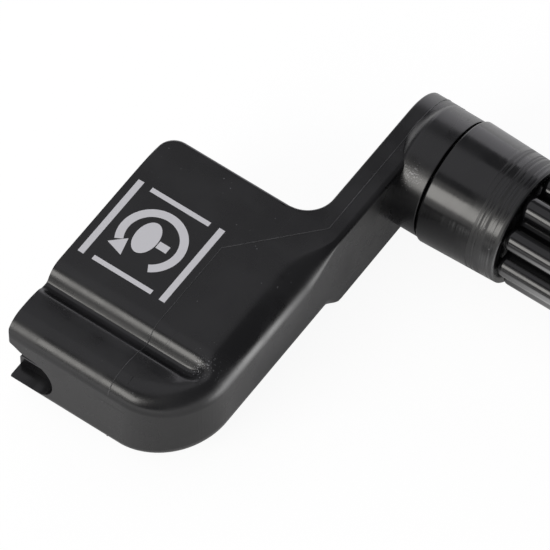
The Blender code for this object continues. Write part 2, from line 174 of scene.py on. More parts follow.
add_softbox(
    "long_softbox", towards=(-0.23, -0.86, 0.475), distance=0.75, width=0.43, height=0.3,
    radiance=5.4, colour=(1.0, 0.98, 0.94),
)
add_softbox(
    "long_softbox_spill", towards=(-0.23, -0.86, 0.455), distance=0.76, width=0.6, height=0.62,
    radiance=0.8, colour=(1.0, 0.98, 0.95),
)
add_softbox(
    "low_wall_light", towards=(-0.14, 0.95, 0.29), distance=0.75, width=1.1, height=0.46,
    radiance=1.4, colour=(0.97, 0.95, 1.0),
)
add_softbox(
    "overhead_panel", towards=(-0.45, 0.0, 0.8), distance=0.85, width=0.85, height=1.1,
    radiance=0.55, colour=(0.97, 0.96, 1.0),
)

# ----------------------------------------------------------------------------------------------------------
# Crank: socket head, flat arm and round boss, moulded in one piece of glossy black plastic.
# A block is drawn out into the arm, its edges are rounded and its far zone is pressed down; the boss is
# joined on, and the peg socket, the bridge-pin notch and the axle's recess are cut out.
# ----------------------------------------------------------------------------------------------------------
mouth_x, closed_x = -31.5 * mm, -4.1 * mm
head_far_y, head_near_y = -54.0 * mm, -19.0 * mm
head_half = 7.2 * mm
arm_back_x, arm_end_y, arm_half = -8.55 * mm, 8.8 * mm, 6.85 * mm
far_corner_radius = 9.8 * mm
far_corner = Vector((closed_x - far_corner_radius, head_far_y + far_corner_radius))
closed_rounding = 4.0 * mm
seam_x = -0.35 * mm
tiny = 0.02 * mm


def select_only(item):
    """Makes one object the active one and the only one selected."""
    bpy.ops.object.select_all(action="DESELECT")
    item.select_set(True)
    bpy.context.view_layer.objects.active = item


def enter_edit(item):
    """Opens one object in edit mode with nothing selected."""
    select_only(item)
    bpy.ops.object.mode_set(mode="EDIT")
    bpy.ops.mesh.select_all(action="DESELECT")


def leave_edit():
    bpy.ops.object.mode_set(mode="OBJECT")


def pick(item, kind, test):
    """Selects the vertices, edges or faces (kind VERT, EDGE or FACE) for which the test holds."""
    bpy.ops.mesh.select_mode(type=kind)
    bpy.ops.mesh.select_all(action="DESELECT")
    shape = bmesh.from_edit_mesh(item.data)
    elements = {"VERT": shape.verts, "EDGE": shape.edges, "FACE": shape.faces}[kind]
    for element in elements:
        if test(element):
            element.select_set(True)
    bmesh.update_edit_mesh(item.data)


def middle(edge):
    return (edge.verts[0].co + edge.verts[1].co) / 2


def lies_along(edge, axis):
    span = edge.verts[1].co - edge.verts[0].co
    return abs(span[axis]) > 0.999 * span.length


def slice_across(axis, place):
    """Cuts the whole mesh in edit mode at one place along an axis, which leaves a loop of edges there."""
    bpy.ops.mesh.select_all(action="SELECT")
    where = Vector((0.0, 0.0, 0.0))
    where[axis] = place
    facing = Vector((0.0, 0.0, 0.0))
    facing[axis] = 1.0
    bpy.ops.mesh.bisect(plane_co=where, plane_no=facing, threshold=0.001 * mm)


def add_block(name, low, high):
    """A box between two corners, with its place in its mesh."""
    low, high = Vector(low), Vector(high)
    bpy.ops.mesh.primitive_cube_add(size=1.0, location=(low + high) / 2, scale=high - low)
    block = bpy.context.object
    block.name = name
    bpy.ops.object.transform_apply(location=True, rotation=True, scale=True)
    return block


def add_round_bar(name, start_x, end_x, radius, sides):
    """A cylinder about the handle's axis, with its place in its mesh."""
    bpy.ops.mesh.primitive_cylinder_add(
        vertices=sides, radius=radius, depth=end_x - start_x,
        location=((start_x + end_x) / 2, 0.0, 0.0), rotation=(0.0, math.pi / 2, 0.0),
    )
    bar = bpy.context.object
    bar.name = name
    bpy.ops.object.transform_apply(location=True, rotation=True, scale=True)
    return bar


def use_modifier(item, name, kind, **settings):
    """Adds a modifier with these settings and applies it."""
    modifier = item.modifiers.new(name, kind)
    for key, value in settings.items():
        setattr(modifier, key, value)
    select_only(item)
    bpy.ops.object.modifier_apply(modifier=name)


def combine(item, operation, tool):
    """Joins the tool to the piece, or cuts it out of it, and removes the tool."""
    use_modifier(item, operation.lower(), "BOOLEAN", operation=operation, solver="EXACT", object=tool)
    bpy.data.objects.remove(tool, do_unlink=True)


crank = add_block("crank", (mouth_x, head_far_y, -head_half), (closed_x, head_near_y, head_half))
enter_edit(crank)
slice_across(0, arm_back_x)
pick(crank, "FACE", lambda f: f.normal.y > 0.9 and f.calc_center_median().x > arm_back_x)
bpy.ops.mesh.extrude_region_move(TRANSFORM_OT_translate={"value": (0.0, arm_end_y - head_near_y, 0.0)})
bpy.ops.mesh.select_all(action="SELECT")
bpy.ops.mesh.dissolve_limited(angle_limit=math.radians(0.1))

# Upright corners: arm fillet, far closed corner, mouth corner; then the arm's round end
for corner_x, corner_y, radius, steps in (
    (arm_back_x, head_near_y, 4.0 * mm, 14),
    (closed_x, head_far_y, far_corner_radius, 28),
    (mouth_x, head_near_y, 2.6 * mm, 8),
):
    place = Vector((corner_x, corner_y))
    pick(crank, "EDGE", lambda e: lies_along(e, 2) and (middle(e).xy - place).length < tiny)
    bpy.ops.mesh.bevel(offset=radius, offset_type="OFFSET", segments=steps, affect="EDGES")
pick(crank, "EDGE", lambda e: lies_along(e, 0) and middle(e).y > arm_end_y - tiny)
bpy.ops.mesh.bevel(offset=arm_half - tiny, offset_type="OFFSET", segments=24, affect="EDGES")
slice_across(1, -3.0 * mm)
leave_edit()


def crank_edge_width(edge):
    """Rounding of one edge of the crank; zero where the block is only sliced, and round the mouth."""
    at = middle(edge)
    upright = abs(edge.verts[0].co.z - edge.verts[1].co.z) > 0.5 * mm
    if upright or edge.calc_face_angle(0.0) < math.radians(40) or at.x < mouth_x + tiny:
        return 0.0
    if at.y > head_near_y + tiny:
        if at.x > closed_x - tiny:
            return closed_rounding if at.y < -3.0 * mm else 0.0
        return 0.35 * mm
    if at.x < closed_x - tiny and at.y > head_near_y - 2.7 * mm:
        return 0.5 * mm
    if at.y > far_corner.y - tiny:
        return closed_rounding
    far_rounding = 3.1 * mm if at.z > 0.0 else 1.3 * mm
    turn = max(at.x - closed_x + far_corner_radius, 0.0) / far_corner_radius
    return far_rounding + (closed_rounding - far_rounding) * turn


enter_edit(crank)
shape = bmesh.from_edit_mesh(crank.data)
weights = shape.edges.layers.float.new("bevel_weight_edge")
for edge in shape.edges:
    edge[weights] = crank_edge_width(edge) / closed_rounding
bmesh.update_edit_mesh(crank.data)
leave_edit()
use_modifier(crank, "rounding", "BEVEL", limit_method="WEIGHT", offset_type="OFFSET", width=closed_rounding,
             segments=12, use_clamp_overlap=False)


def half_thickness(y):
    """Half the crank's thickness: even over the head, then slightly thinner towards the arm's end."""
    share = max(y - head_near_y, 0.0) / (arm_end_y - head_near_y)
    return head_half + (arm_half - head_half) * share


def ease(value):
    value = min(max(value, 0.0), 1.0)
    return value * value * (3 - 2 * value)


slope_start_y, slope_length, crease_depth = -42.4 * mm, 3.0 * mm, 2.0 * mm
crease_y = slope_start_y - slope_length


def pressed(y):
    """Depth of the pressed far zone: a slope that steepens into a crease, then a slow rise with a step."""
    run = (slope_start_y - y) / slope_length
    if run < 1.0:
        return crease_depth * max(run, 0.0) ** 3.0
    slow_rise = 0.55 * mm * ease((crease_y - y) / (4.4 * mm))
    small_step = 0.35 * mm * ease((-46.5 * mm - y) / (0.7 * mm))
    return crease_depth - slow_rise - small_step


def pressed_share(x, y):
    """Share of that depth at one place: it fades towards the closed edge and grows back round the corner."""
    if x <= far_corner.x:
        return 1.0
    inward = closed_x - x
    turn = 0.0
    if y < far_corner.y:
        inward = far_corner_radius - (Vector((x, y)) - far_corner).length
        turn = math.atan2(far_corner.y - y, x - far_corner.x) / math.radians(75)
    return 1 - (1 - ease((inward - 1.2 * mm) / (3.4 * mm))) * (1 - ease(turn))


# The large rounding runs out where the arm leaves the head, and the far zone is pressed down
runout_start_y, rear_runout_start_y = -26.8, -22.6
enter_edit(crank)
for step in range(13):
    slice_across(1, (runout_start_y + 0.62 * step) * mm)
slice_across(1, head_near_y)
for step in range(28):
    slice_across(1, (-42.2 - 0.25 * step) * mm)
for place in (-50.0, -51.0):
    slice_across(1, place * mm)
for place in (-15.0, -13.9, -12.2, -10.6, -9.3):
    slice_across(0, place * mm)
shape = bmesh.from_edit_mesh(crank.data)
for vertex in shape.verts:
    at = vertex.co
    side = 1.0 if at.z > 0.0 else -1.0
    edge_z = side * head_half
    near_edge = abs(at.z) > head_half - closed_rounding - 0.2 * mm
    if near_edge and at.x > closed_x - closed_rounding - tiny and at.y < -2.9 * mm:
        kept, start, run = (0.2, runout_start_y, 7.4) if side > 0.0 else (0.06, rear_runout_start_y, 3.0)
        share = 1.0 + (kept - 1.0) * ease((at.y - start * mm) / (run * mm))
        at.x = closed_x + (at.x - closed_x) * share
        at.z = edge_z + (at.z - edge_z) * share
    if at.z > 0.0:
        softened = (pressed(at.y - 0.2 * mm) + pressed(at.y) + pressed(at.y + 0.2 * mm)) / 3
        at.z -= softened * pressed_share(at.x, at.y) * at.z / head_half
    at.z *= half_thickness(at.y) / head_half
bpy.ops.mesh.select_all(action="SELECT")
bpy.ops.mesh.remove_doubles(threshold=0.002 * mm)
bpy.ops.mesh.vert_connect_nonplanar(angle_limit=math.radians(0.05))
leave_edit()

# Round boss: a drum that slopes down to the arm behind it
boss_radius, boss_drop, slope_steps, slope_step = 8.6 * mm, 1.75 * mm, 24, 2.8 * mm / 24
boss = add_round_bar("boss", -4.4 * mm, seam_x, boss_radius, 144)
enter_edit(boss)
radius = boss_radius
pick(boss, "FACE", lambda f: f.normal.x < -0.9)
for step in range(1, slope_steps + 1):
    new_radius = boss_radius - boss_drop * ease(step / slope_steps)
    shrink = new_radius / radius
    bpy.ops.mesh.extrude_region_move(TRANSFORM_OT_translate={"value": (-slope_step, 0.0, 0.0)})
    bpy.ops.transform.resize(value=(1.0, shrink, shrink), center_override=(0.0, 0.0, 0.0))
    radius = new_radius
pick(boss, "EDGE", lambda e: middle(e).x > seam_x - tiny and e.calc_face_angle(0.0) > 1.0)
bpy.ops.mesh.bevel(offset=0.2 * mm, segments=2, affect="EDGES")
leave_edit()

# Recess for the washer and hole for the axle's root
recess = add_round_bar("recess", -1.6 * mm, 2.0 * mm, 6.5 * mm, 96)
enter_edit(recess)
pick(recess, "FACE", lambda f: f.normal.x < -0.9)
bpy.ops.mesh.inset(thickness=3.7 * mm)
bpy.ops.mesh.extrude_region_move(TRANSFORM_OT_translate={"value": (-5.75 * mm, 0.0, 0.0)})
leave_edit()

# Peg socket, lower under the pressed zone, with a shallow step along its far side
socket_half = 5.2 * mm
socket = add_block(
    "socket", (mouth_x - 2.0 * mm, -52.0 * mm, -socket_half), (-7.1 * mm, -21.0 * mm, socket_half),
)
enter_edit(socket)
pick(socket, "EDGE", lambda e: lies_along(e, 2) and middle(e).x > -8.0 * mm and middle(e).y < -50.0 * mm)
bpy.ops.mesh.bevel(offset=7.0 * mm, segments=16, affect="EDGES")
pick(socket, "EDGE", lambda e: abs(middle(e).z) > 5.1 * mm and middle(e).x > mouth_x - 1.0 * mm)
bpy.ops.mesh.bevel(offset=0.8 * mm, segments=4, affect="EDGES")
for place in (-41.0, -41.5, -42.0, -42.5, -43.0, -49.4, -49.8):
    slice_across(1, place * mm)
shape = bmesh.from_edit_mesh(socket.data)
for vertex in shape.verts:
    if vertex.co.z > 0.0:
        vertex.co.z -= 1.6 * mm * ease((-41.0 * mm - vertex.co.y) / (2.0 * mm)) * vertex.co.z / socket_half
    else:
        vertex.co.z += 0.6 * mm * ease((-49.4 * mm - vertex.co.y) / (0.4 * mm))
bmesh.update_edit_mesh(socket.data)
leave_edit()

# Notch for bridge pins, open at the mouth, with a flared upper lip
notch = add_block(
    "notch", (mouth_x - 2.0 * mm, -56.0 * mm, -6.27 * mm), (-24.6 * mm, -51.6 * mm, 1.05 * mm),
)
enter_edit(notch)
pick(notch, "EDGE", lambda e: lies_along(e, 1) and middle(e).x > -25.0 * mm)
bpy.ops.mesh.bevel(offset=3.55 * mm, segments=18, affect="EDGES")
for step in range(6):
    slice_across(0, (-29.0 - 0.5 * step) * mm)
shape = bmesh.from_edit_mesh(notch.data)
for vertex in shape.verts:
    if vertex.co.z > 0.0:
        vertex.co.z += 1.3 * mm * ease((-28.5 * mm - vertex.co.x) / (3.2 * mm))
bmesh.update_edit_mesh(notch.data)
leave_edit()

combine(crank, "DIFFERENCE", socket)
combine(crank, "DIFFERENCE", notch)
combine(crank, "UNION", boss)
combine(crank, "DIFFERENCE", recess)

# Upright rounding of the mouth's far corner
rounded_x, rounded_y = mouth_x + 0.55 * mm, head_far_y + 0.55 * mm
corner = add_block(
    "corner", (mouth_x - 1.0 * mm, head_far_y - 1.0 * mm, -9.0 * mm), (rounded_x, rounded_y, 9.0 * mm),
)
bpy.ops.mesh.primitive_cylinder_add(
    vertices=48, radius=0.56 * mm, depth=20.0 * mm, location=(rounded_x, rounded_y, 0.0),
)
combine(corner, "DIFFERENCE", bpy.context.object)
combine(crank, "DIFFERENCE", corner)

# The mouth's rim, with the notch's edges where they meet it, is slightly rounded, and slices keep the shading
# of the arm local
enter_edit(crank)
pick(crank, "EDGE", lambda e: middle(e).x < mouth_x + tiny and e.calc_face_angle(0.0) > 1.0)
bpy.ops.mesh.bevel(offset=0.2 * mm, segments=4, affect="EDGES", clamp_overlap=True)
for place in (-18.4, -14.6, -9.3):
    slice_across(1, place * mm)
leave_edit()


def finish_surface(item, angle=24.0):
    """Smooth shading across the roundings, with the flat faces kept flat."""
    select_only(item)
    bpy.ops.object.shade_smooth_by_angle(angle=math.radians(angle))
    use_modifier(item, "even_shading", "WEIGHTED_NORMAL", keep_sharp=True, weight=60)


def settle(item):
    """Moves a piece that was made about the pivot to its place, which stays in its mesh."""
    item.location = pivot
    select_only(item)
    bpy.ops.object.transform_apply(location=True, rotation=True, scale=True)


finish_surface(crank)
settle(crank)
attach(crank, "crank")
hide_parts("crank_body")


# ----------------------------------------------------------------------------------------------------------
# Finishes: four shared effects, and one material for each plastic, metal and ink that uses them.
# ----------------------------------------------------------------------------------------------------------
def new_effect(name, inputs, outputs):
    """An empty node group; inputs and outputs are (name, socket type) pairs."""
    effect = bpy.data.node_groups.new(name, "ShaderNodeTree")
    for label, kind in inputs:
        effect.interface.new_socket(label, in_out="INPUT", socket_type=kind)
    for label, kind in outputs:
        effect.interface.new_socket(label, in_out="OUTPUT", socket_type=kind)
    return effect, effect.nodes.new("NodeGroupInput"), effect.nodes.new("NodeGroupOutput")


def add_math(tree, operation, first, second):
    """A maths node; each term is a number or another node's output."""
    made = tree.nodes.new("ShaderNodeMath")
    made.operation = operation
    for place, term in enumerate((first, second)):
        if isinstance(term, (int, float)):
            made.inputs[place].default_value = term
        else:
            tree.links.new(term, made.inputs[place])
    return made.outputs[0]


def add_noise(tree, vector, stretch, turn, detail):
    """Noise in turned and stretched coordinates; stretch is in features per metre along each axis."""
    mapping = tree.nodes.new("ShaderNodeMapping")
    mapping.inputs["Rotation"].default_value = turn
    mapping.inputs["Scale"].default_value = stretch
    noise = tree.nodes.new("ShaderNodeTexNoise")
    noise.inputs["Scale"].default_value = 1.0
    noise.inputs["Detail"].default_value = detail
    tree.links.new(vector, mapping.inputs["Vector"])
    tree.links.new(mapping.outputs["Vector"], noise.inputs["Vector"])
    return noise.outputs["Fac"]


def add_range(tree, value, start, end, low=0.0, high=1.0):
    """Eases a value that runs from start to end into one that runs from low to high."""
    fade = tree.nodes.new("ShaderNodeMapRange")
    fade.interpolation_type = "SMOOTHSTEP"
    fade.inputs["From Min"].default_value = start
    fade.inputs["From Max"].default_value = end
    fade.inputs["To Min"].default_value = low
    fade.inputs["To Max"].default_value = high
    tree.links.new(value, fade.inputs["Value"])
    return fade.outputs["Result"]


# Relief of a moulded surface: slow sink waves and a fine grain, both heights in metres
relief, given, result = new_effect(
    "moulded_relief",
    (("Vector", "NodeSocketVector"), ("Waves", "NodeSocketFloat"), ("Grain", "NodeSocketFloat")),
    (("Height", "NodeSocketFloat"),),
)
waves = add_noise(relief, given.outputs["Vector"], (95.0, 95.0, 95.0), (0.0, 0.0, 0.4), 2.0)
grain = add_noise(relief, given.outputs["Vector"], (1900.0, 1900.0, 1900.0), (0.3, 0.0, 0.0), 3.0)
waves = add_math(relief, "MULTIPLY", waves, given.outputs["Waves"])
grain = add_math(relief, "MULTIPLY", grain, given.outputs["Grain"])
relief.links.new(add_math(relief, "ADD", waves, grain), result.inputs["Height"])

# Handling marks: fine scratches, bright specks and smudges, as masks from 0 to 1
marks, given, result = new_effect(
    "handling_marks",
    (("Vector", "NodeSocketVector"),),
    (("Scratches", "NodeSocketFloat"), ("Specks", "NodeSocketFloat"), ("Smudges", "NodeSocketFloat")),
)
along = add_noise(marks, given.outputs["Vector"], (2100.0, 45.0, 600.0), (0.0, 0.0, 0.5), 1.0)
across = add_noise(marks, given.outputs["Vector"], (50.0, 2400.0, 700.0), (0.2, 0.0, -0.35), 1.0)
thin = add_math(marks, "MAXIMUM", add_range(marks, along, 0.72, 0.78), add_range(marks, across, 0.74, 0.79))
marks.links.new(thin, result.inputs["Scratches"])
dots = marks.nodes.new("ShaderNodeTexVoronoi")
dots.inputs["Scale"].default_value = 2600.0
marks.links.new(given.outputs["Vector"], dots.inputs["Vector"])
split = marks.nodes.new("ShaderNodeSeparateColor")
marks.links.new(dots.outputs["Color"], split.inputs["Color"])
chosen = add_range(marks, split.outputs["Red"], 0.9, 0.93)
small = add_range(marks, dots.outputs["Distance"], 0.3, 0.18)
patches = add_noise(marks, given.outputs["Vector"], (210.0, 210.0, 210.0), (0.0, 0.0, 0.0), 2.0)
patches = add_range(marks, patches, 0.58, 0.7)
specks = add_math(marks, "MULTIPLY", add_math(marks, "MULTIPLY", chosen, small), patches)
marks.links.new(specks, result.inputs["Specks"])
smudge = add_noise(marks, given.outputs["Vector"], (160.0, 160.0, 160.0), (0.0, 0.3, 0.0), 4.0)
marks.links.new(add_range(marks, smudge, 0.38, 0.68), result.inputs["Smudges"])

# Scuff patch: crumbs of lighter colour round one place, as a mask from 0 to 1; they sit where highlights fall,
# so they are partly real scuffing and partly painted sparkle
scuff_sparkle, given, result = new_effect(
    "scuff_and_sparkle_patch",
    (("Vector", "NodeSocketVector"), ("Centre", "NodeSocketVector"), ("Radius", "NodeSocketFloat")),
    (("Mask", "NodeSocketFloat"),),
)
reach = scuff_sparkle.nodes.new("ShaderNodeVectorMath")
reach.operation = "DISTANCE"
scuff_sparkle.links.new(given.outputs["Vector"], reach.inputs[0])
scuff_sparkle.links.new(given.outputs["Centre"], reach.inputs[1])
near = add_math(scuff_sparkle, "DIVIDE", reach.outputs["Value"], given.outputs["Radius"])
sparkle_crumbs = add_noise(scuff_sparkle, given.outputs["Vector"], (5200.0, 5200.0, 5200.0), (0.0, 0.0, 0.0), 2.0)
sparkle_crumbs = add_math(scuff_sparkle, "SUBTRACT", sparkle_crumbs, add_math(scuff_sparkle, "MULTIPLY", near, 0.16))
scuff_sparkle.links.new(add_range(scuff_sparkle, sparkle_crumbs, 0.5, 0.57), result.inputs["Mask"])

# Turning marks: fine rings about the handle's axis, stronger towards the free end of the collar
turning, given, result = new_effect(
    "turning_marks", (("Vector", "NodeSocketVector"),), (("Height", "NodeSocketFloat"),),
)
rings = add_noise(turning, given.outputs["Vector"], (2700.0, 50.0, 50.0), (0.0, 0.0, 0.0), 2.0)
place = turning.nodes.new("ShaderNodeSeparateXYZ")
turning.links.new(given.outputs["Vector"], place.inputs["Vector"])
strength = add_range(turning, place.outputs["X"], pivot.x + 2.0 * mm, pivot.x + 9.0 * mm, 0.2, 1.0)
turning.links.new(add_math(turning, "MULTIPLY", rings, strength), result.inputs["Height"])


def add_effect(tree, effect, vector):
    made = tree.nodes.new("ShaderNodeGroup")
    made.node_tree = effect
    tree.links.new(vector, made.inputs["Vector"])
    return made


scratch_depth = 0.0006 * mm
scuff_sparkle_lightness = 0.42


def new_finish(
    name, colour, roughness, smudged, waves, grain,
    dust=0.0, scratched=0.1, metal=0.0, rings=0.0, film=0.0, scuffed_sparkle=(),
):
    """A material with relief, smudges, scratches, dust specks and, where it was turned, rings.

    Heights are in metres. smudged and scratched are added to the roughness. dust is how light the specks are,
    and film how light the smudges are. scuffed_sparkle holds scuff patches, partly real scuffing and partly
    painted
    sparkle: (place from the pivot, radius) in mm.
    """
    finish = bpy.data.materials.new(name)
    finish.use_nodes = True
    tree = finish.node_tree
    shader = tree.nodes["Principled BSDF"]
    place = tree.nodes.new("ShaderNodeTexCoord").outputs["Object"]
    surface = add_effect(tree, relief, place)
    surface.inputs["Waves"].default_value = waves
    surface.inputs["Grain"].default_value = grain
    wear = add_effect(tree, marks, place)
    height = surface.outputs["Height"]
    if rings:
        turned = add_effect(tree, turning, place)
        height = add_math(tree, "ADD", height, add_math(tree, "MULTIPLY", turned.outputs["Height"], rings))
    scratches = add_math(tree, "MULTIPLY", wear.outputs["Scratches"], scratch_depth)
    height = add_math(tree, "SUBTRACT", height, scratches)
    bump = tree.nodes.new("ShaderNodeBump")
    bump.inputs["Strength"].default_value = 1.0
    bump.inputs["Distance"].default_value = 1.0
    tree.links.new(height, bump.inputs["Height"])
    tree.links.new(bump.outputs["Normal"], shader.inputs["Normal"])
    rough = add_math(tree, "ADD", add_math(tree, "MULTIPLY", wear.outputs["Smudges"], smudged), roughness)
    rough = add_math(tree, "ADD", rough, add_math(tree, "MULTIPLY", wear.outputs["Scratches"], scratched))
    if rings:
        rings_dull = add_range(tree, turned.outputs["Height"], 0.42, 0.62, 0.0, 0.3)
        rough = add_math(tree, "ADD", rough, rings_dull)
    tree.links.new(rough, shader.inputs["Roughness"])
    tint = tree.nodes.new("ShaderNodeMix")
    tint.data_type = "RGBA"
    tint.inputs["A"].default_value = (*colour, 1.0)
    tint.inputs["B"].default_value = (0.42, 0.42, 0.44, 1.0)
    light = add_math(tree, "MULTIPLY", wear.outputs["Specks"], dust)
    light = add_math(tree, "ADD", light, add_math(tree, "MULTIPLY", wear.outputs["Smudges"], film))
    # Scuff patches lighten the colour: partly real scuffing, partly painted sparkle where the highlights fall
    for centre, radius in scuffed_sparkle:
        patch = add_effect(tree, scuff_sparkle, place)
        patch.inputs["Centre"].default_value = pivot + centre * mm
        patch.inputs["Radius"].default_value = radius * mm
        sparkle_crumbs = add_math(tree, "MULTIPLY", patch.outputs["Mask"], scuff_sparkle_lightness)
        light = add_math(tree, "MAXIMUM", light, sparkle_crumbs)
    tree.links.new(light, tint.inputs["Factor"])
    tree.links.new(tint.outputs["Result"], shader.inputs["Base Color"])
    shader.inputs["Metallic"].default_value = metal
    return finish


def wear_finish(item, finish):
    item.data.materials.clear()
    item.data.materials.append(finish)


# Scuff patch centres sit where the highlights fall, at the ridge's end and on the boss
ridge_end = Vector((-7.6, -44.3, 5.8))
boss_shine = Vector((-2.7, -5.9, 6.3))
crank_gloss = new_finish(
    "moulded_black_gloss", (0.005, 0.005, 0.0056), roughness=0.235, smudged=0.12,
    waves=0.03 * mm, grain=0.0014 * mm, dust=0.3, film=0.013,
    scuffed_sparkle=((ridge_end, 2.3), (boss_shine, 1.7)),
)
collar_gloss = new_finish(
    "turned_black_gloss", (0.006, 0.006, 0.0065), roughness=0.15, smudged=0.12,
    waves=0.03 * mm, grain=0.001 * mm, dust=0.35, rings=0.045 * mm, film=0.01,
)
grip_gloss = new_finish(
    "fluted_black_gloss", (0.005, 0.005, 0.0055), roughness=0.13, smudged=0.08,
    waves=0.012 * mm, grain=0.0006 * mm, dust=0.2,
)
flash_line = new_finish(
    "mould_flash", (0.045, 0.045, 0.047), roughness=0.3, smudged=0.1,
    waves=0.0, grain=0.003 * mm, dust=0.9, film=0.1,
)
cap_satin = new_finish(
    "cap_black_satin", (0.007, 0.007, 0.0078), roughness=0.3, smudged=0.1,
    waves=0.004 * mm, grain=0.0012 * mm, dust=0.3,
)
white_acetal = new_finish(
    "white_acetal", (0.7, 0.69, 0.64), roughness=0.42, smudged=0.12,
    waves=0.004 * mm, grain=0.001 * mm,
)
drawn_steel = new_finish(
    "drawn_steel", (0.58, 0.58, 0.6), roughness=0.2, smudged=0.12,
    waves=0.001 * mm, grain=0.0004 * mm, metal=1.0, scratched=0.2,
)
plated_steel = new_finish(
    "plated_steel", (0.62, 0.62, 0.6), roughness=0.28, smudged=0.14,
    waves=0.001 * mm, grain=0.0008 * mm, metal=1.0, scratched=0.2,
)
worn_ink = new_finish(
    "worn_white_ink", (0.74, 0.74, 0.77), roughness=0.5, smudged=0.1, waves=0.0, grain=0.002 * mm,
)
wear_finish(crank, crank_gloss)
for node, finish in (
    ("axle_pin", drawn_steel), ("thrust_washer", white_acetal),
    ("retaining_washer", plated_steel), ("retaining_screw", plated_steel),
):
    frame["nodes"][node].material_slots[0].material = finish

# ----------------------------------------------------------------------------------------------------------
# Parting line: a hair-fine raised bead where the two halves of the mould met, laid on the crank's skin.
# It runs up the far side, over the head, across to the arm and round the arm's end.
# ----------------------------------------------------------------------------------------------------------
skin = BVHTree.FromObject(crank, bpy.context.evaluated_depsgraph_get())
wander = random.Random(7)
bead_radius = 0.085 * mm
lowest_y = pivot.y + head_far_y + bead_radius + 0.03 * mm
outside = 30.0

# Each probe starts outside the crank and looks at its skin; (origin in mm from the pivot, heading)
probes = []
for step in range(24):
    share = step / 23
    probes.append(((-16.2 + 0.4 * share, -70.0, -6.6 + 9.6 * share), (0.0, 1.0, 0.0)))
for step in range(1, 12):
    turn = math.pi - math.pi / 2 * step / 12
    out_y, out_z = math.cos(turn), math.sin(turn)
    probes.append(((-15.75, -49.0 + outside * out_y, 3.0 + outside * out_z), (0.0, -out_y, -out_z)))
for (start_x, start_y), (end_x, end_y), count in (
    ((-15.7, -49.0), (-15.7, -29.4), 90),
    ((-15.7, -29.4), (-6.3, -19.1), 60),
    ((-6.3, -19.0), (-6.4, -1.0), 70),
):
    for step in range(count):
        share = step / count
        x = start_x + (end_x - start_x) * share
        y = start_y + (end_y - start_y) * share
        probes.append(((x, y, outside), (0.0, 0.0, -1.0)))
for step in range(60):
    turn = math.radians(96 - 186 * step / 59)
    out_y, out_z = math.cos(turn), math.sin(turn)
    probes.append(((-6.4, outside * out_y, outside * out_z), (0.0, -out_y, -out_z)))

path = []
for origin, heading in probes:
    hit = skin.ray_cast(pivot + Vector(origin) * mm, Vector(heading))[0]
    hit.y = max(hit.y, lowest_y)
    path.append(hit + Vector((wander.uniform(-0.015, 0.015), wander.uniform(-0.015, 0.015), 0.0)) * mm)

line = bpy.data.curves.new("parting_line", "CURVE")
line.dimensions = "3D"
line.bevel_depth = bead_radius
line.bevel_resolution = 1
line.use_fill_caps = True
strand = line.splines.new("POLY")
strand.points.add(len(path) - 1)
for point, at in zip(strand.points, path):
    point.co = (*at, 1.0)
    point.radius = 0.7 + 0.6 * wander.random() ** 3
parting_line = bpy.data.objects.new("parting_line", line)
bpy.context.scene.collection.objects.link(parting_line)
select_only(parting_line)
bpy.ops.object.convert(target="MESH")
bpy.ops.object.shade_smooth()
enter_edit(parting_line)
bpy.ops.mesh.select_all(action="SELECT")
bpy.ops.mesh.remove_doubles(threshold=0.0005 * mm)
bpy.ops.mesh.normals_make_consistent(inside=False)
leave_edit()
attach(parting_line, "crank")
wear_finish(parting_line, flash_line)

# ----------------------------------------------------------------------------------------------------------
# Print on the head's front: a plain pictogram of a peg button in a turning arrow, between four bars.
# Each shape is a thin raised slab of white ink.
# ----------------------------------------------------------------------------------------------------------
ink_low, ink_high = head_half - 0.01 * mm, head_half + 0.015 * mm
print_centre = Vector((-23.6, -33.7, 0.0)) * mm


def add_ink_bar(low, high):
    """A flat slab between two corners, measured from the print's centre in mm along the reading direction."""
    return add_block(
        "ink",
        (print_centre.x - high[1] * mm, print_centre.y + low[0] * mm, ink_low),
        (print_centre.x - low[1] * mm, print_centre.y + high[0] * mm, ink_high),
    )


def add_ink_disc(across, up, radius, sides, turn, wide, tall):
    """A flat disc or polygon, scaled along the reading direction (wide) and across it (tall)."""
    bpy.ops.mesh.primitive_cylinder_add(
        vertices=sides, radius=radius * mm, depth=ink_high - ink_low, rotation=(0.0, 0.0, turn),
    )
    disc = bpy.context.object
    bpy.ops.object.transform_apply(location=True, rotation=True, scale=True)
    disc.scale = (tall, wide, 1.0)
    disc.location = print_centre + Vector((-up * mm, across * mm, (ink_low + ink_high) / 2))
    bpy.ops.object.transform_apply(location=True, rotation=True, scale=True)
    return disc


ink = [
    add_ink_disc(0.0, 0.75, radius=1.9, sides=48, turn=0.0, wide=1.35, tall=0.85),
    add_ink_bar((-0.55, -2.6), (0.55, -1.0)),
    add_ink_bar((-6.6, 5.9), (6.6, 6.8)),
    add_ink_bar((-6.6, -6.8), (6.6, -5.9)),
    add_ink_bar((-6.6, -4.6), (-5.9, 4.6)),
    add_ink_bar((5.9, -4.6), (6.6, 4.6)),
]
arrow_start, arrow_sweep, arrow_radius = math.radians(-60), math.radians(270), 4.18
arrow_tip = arrow_start + arrow_sweep + math.radians(13.5)
tip_across, tip_up = arrow_radius * math.sin(arrow_tip), -arrow_radius * math.cos(arrow_tip)
ink.append(add_ink_disc(tip_across, tip_up, radius=1.55, sides=3, turn=arrow_tip, wide=1.0, tall=1.0))
arc = add_block("ink_arc", (3.6 * mm, -0.02 * mm, ink_low), (4.75 * mm, 0.02 * mm, ink_high))
enter_edit(arc)
pick(arc, "FACE", lambda f: f.normal.y > 0.9)
bpy.ops.mesh.spin(steps=72, angle=-arrow_sweep, center=(0.0, 0.0, 0.0), axis=(0.0, 0.0, 1.0))
bpy.ops.mesh.select_all(action="SELECT")
bpy.ops.mesh.remove_doubles(threshold=0.0005 * mm)
